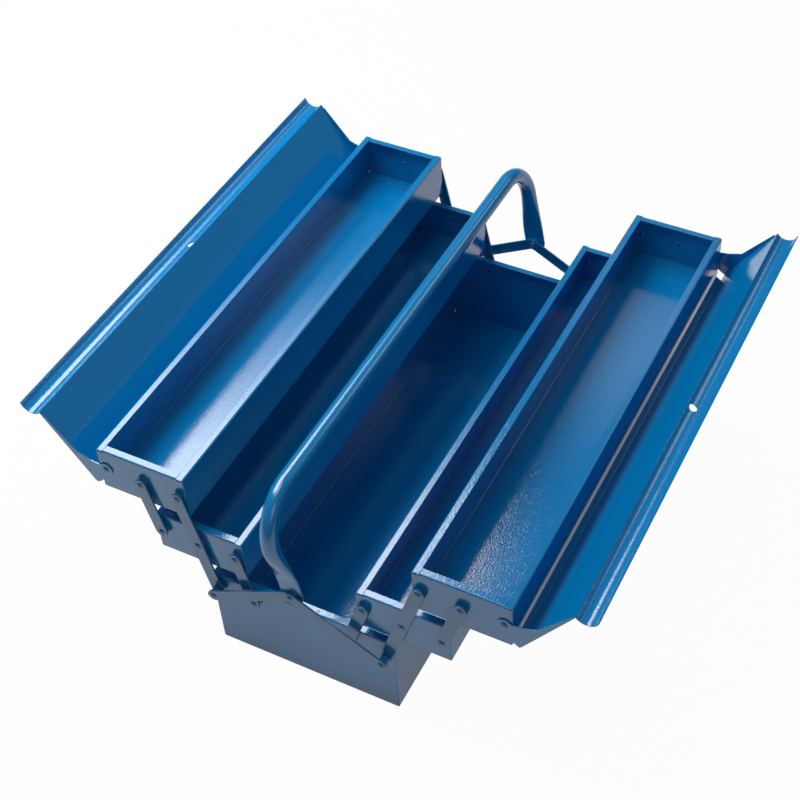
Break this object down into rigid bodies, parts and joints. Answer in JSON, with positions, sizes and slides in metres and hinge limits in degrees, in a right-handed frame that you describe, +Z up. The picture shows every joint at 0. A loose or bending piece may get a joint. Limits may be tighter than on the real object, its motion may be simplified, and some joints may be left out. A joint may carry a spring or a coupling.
{
  "type": "cantilever tool box",
  "caption": "Folded steel cantilever tool box with tiered trays that spread on flat links, hinged lids with curved lips and a swinging tube handle on straps, shown open.",
  "frame": {"origin": "middle of the underside of the base tray", "axes": "+X across the box towards its right trays, +Y along the trays to the far end, +Z up"},
  "size_m": [0.5838, 0.5786, 0.2608],
  "materials": {
    "tray_coat": "gloss powder coat",
    "lid_coat": "gloss powder coat",
    "link_coat": "semi-gloss powder coat",
    "handle_coat": "gloss powder coat",
    "fastener_coat": "semi-gloss powder coat"
  },
  "bodies": {
    "base": {"base_trough": "tray_coat", "base_end_near": "tray_coat", "base_end_far": "tray_coat", "base_rivets": "fastener_coat", "base_washers": "fastener_coat", "strap_rivets": "fastener_coat", "strap_spacers": "fastener_coat", "strap_left_near": "link_coat", "strap_right_near": "link_coat", "strap_left_far": "link_coat", "strap_right_far": "link_coat", "handle_rivets": "fastener_coat"},
    "handle": {"handle": "handle_coat"},
    "left_long_links": {"left_long_link_near": "link_coat", "left_long_link_far": "link_coat"},
    "left_lower_links": {"left_lower_link_near": "link_coat", "left_lower_link_far": "link_coat"},
    "left_mid_tray": {"left_mid_trough": "tray_coat", "left_mid_end_near": "tray_coat", "left_mid_end_far": "tray_coat", "left_mid_rivets": "fastener_coat", "left_mid_washers": "fastener_coat"},
    "left_upper_links": {"left_upper_link_near": "link_coat", "left_upper_link_far": "link_coat"},
    "left_upper_tray": {"left_upper_trough": "tray_coat", "left_upper_end_near": "tray_coat", "left_upper_end_far": "tray_coat", "left_upper_rivets": "fastener_coat", "left_upper_washers": "fastener_coat"},
    "left_lid": {"left_lid": "lid_coat"},
    "right_long_links": {"right_long_link_near": "link_coat", "right_long_link_far": "link_coat"},
    "right_lower_links": {"right_lower_link_near": "link_coat", "right_lower_link_far": "link_coat"},
    "right_mid_tray": {"right_mid_trough": "tray_coat", "right_mid_end_near": "tray_coat", "right_mid_end_far": "tray_coat", "right_mid_rivets": "fastener_coat", "right_mid_washers": "fastener_coat"},
    "right_upper_links": {"right_upper_link_near": "link_coat", "right_upper_link_far": "link_coat"},
    "right_upper_tray": {"right_upper_trough": "tray_coat", "right_upper_end_near": "tray_coat", "right_upper_end_far": "tray_coat", "right_upper_rivets": "fastener_coat", "right_upper_washers": "fastener_coat"},
    "right_lid": {"right_lid": "lid_coat"}
  },
  "joints": [
    {"name": "handle_swing", "type": "hinge", "parent": "base", "child": "handle", "pos_m": [0, 0, 0.136], "axis": [0, 1, 0], "range_deg": [-23, 41]},
    {"name": "left_fold", "type": "hinge", "parent": "base", "child": "left_long_links", "pos_m": [-0.0925, 0, 0.0855], "axis": [0, 1, 0], "range_deg": [0, 52.87]},
    {"name": "left_lower_links_turn", "type": "hinge", "parent": "base", "child": "left_lower_links", "pos_m": [-0.05175, 0, 0.0855], "axis": [0, 1, 0], "range_deg": [0, 52.87]},
    {"name": "left_mid_tray_level", "type": "hinge", "parent": "left_long_links", "child": "left_mid_tray", "pos_m": [-0.10545, 0, 0.14642], "axis": [0, 1, 0], "range_deg": [-52.87, 0]},
    {"name": "left_upper_tray_level", "type": "hinge", "parent": "left_long_links", "child": "left_upper_tray", "pos_m": [-0.1184, 0, 0.20734], "axis": [0, 1, 0], "range_deg": [-52.87, 0]},
    {"name": "left_upper_links_turn", "type": "hinge", "parent": "left_mid_tray", "child": "left_upper_links", "pos_m": [-0.1462, 0, 0.14642], "axis": [0, 1, 0], "range_deg": [0, 52.87]},
    {"name": "left_lid_turn", "type": "hinge", "parent": "left_upper_tray", "child": "left_lid", "pos_m": [-0.1999, 0, 0.20734], "axis": [0, 1, 0], "range_deg": [0, 124]},
    {"name": "right_fold", "type": "hinge", "parent": "base", "child": "right_long_links", "pos_m": [0.0925, 0, 0.0855], "axis": [0, -1, 0], "range_deg": [0, 58.87]},
    {"name": "right_lower_links_turn", "type": "hinge", "parent": "base", "child": "right_lower_links", "pos_m": [0.05175, 0, 0.0855], "axis": [0, -1, 0], "range_deg": [0, 58.87]},
    {"name": "right_mid_tray_level", "type": "hinge", "parent": "right_long_links", "child": "right_mid_tray", "pos_m": [0.11175, 0, 0.14473], "axis": [0, -1, 0], "range_deg": [-58.87, 0]},
    {"name": "right_upper_tray_level", "type": "hinge", "parent": "right_long_links", "child": "right_upper_tray", "pos_m": [0.13099, 0, 0.20397], "axis": [0, -1, 0], "range_deg": [-58.87, 0]},
    {"name": "right_upper_links_turn", "type": "hinge", "parent": "right_mid_tray", "child": "right_upper_links", "pos_m": [0.1525, 0, 0.14473], "axis": [0, -1, 0], "range_deg": [0, 58.87]},
    {"name": "right_lid_turn", "type": "hinge", "parent": "right_upper_tray", "child": "right_lid", "pos_m": [0.21249, 0, 0.20397], "axis": [0, -1, 0], "range_deg": [0, 124]}
  ],
  "couplings": [
    {"joint": "left_lower_links_turn", "follows": "left_fold", "ratio": 1},
    {"joint": "left_mid_tray_level", "follows": "left_fold", "ratio": -1},
    {"joint": "left_upper_tray_level", "follows": "left_fold", "ratio": -1},
    {"joint": "left_upper_links_turn", "follows": "left_fold", "ratio": 1},
    {"joint": "right_lower_links_turn", "follows": "right_fold", "ratio": 1},
    {"joint": "right_mid_tray_level", "follows": "right_fold", "ratio": -1},
    {"joint": "right_upper_tray_level", "follows": "right_fold", "ratio": -1},
    {"joint": "right_upper_links_turn", "follows": "right_fold", "ratio": 1}
  ]
}
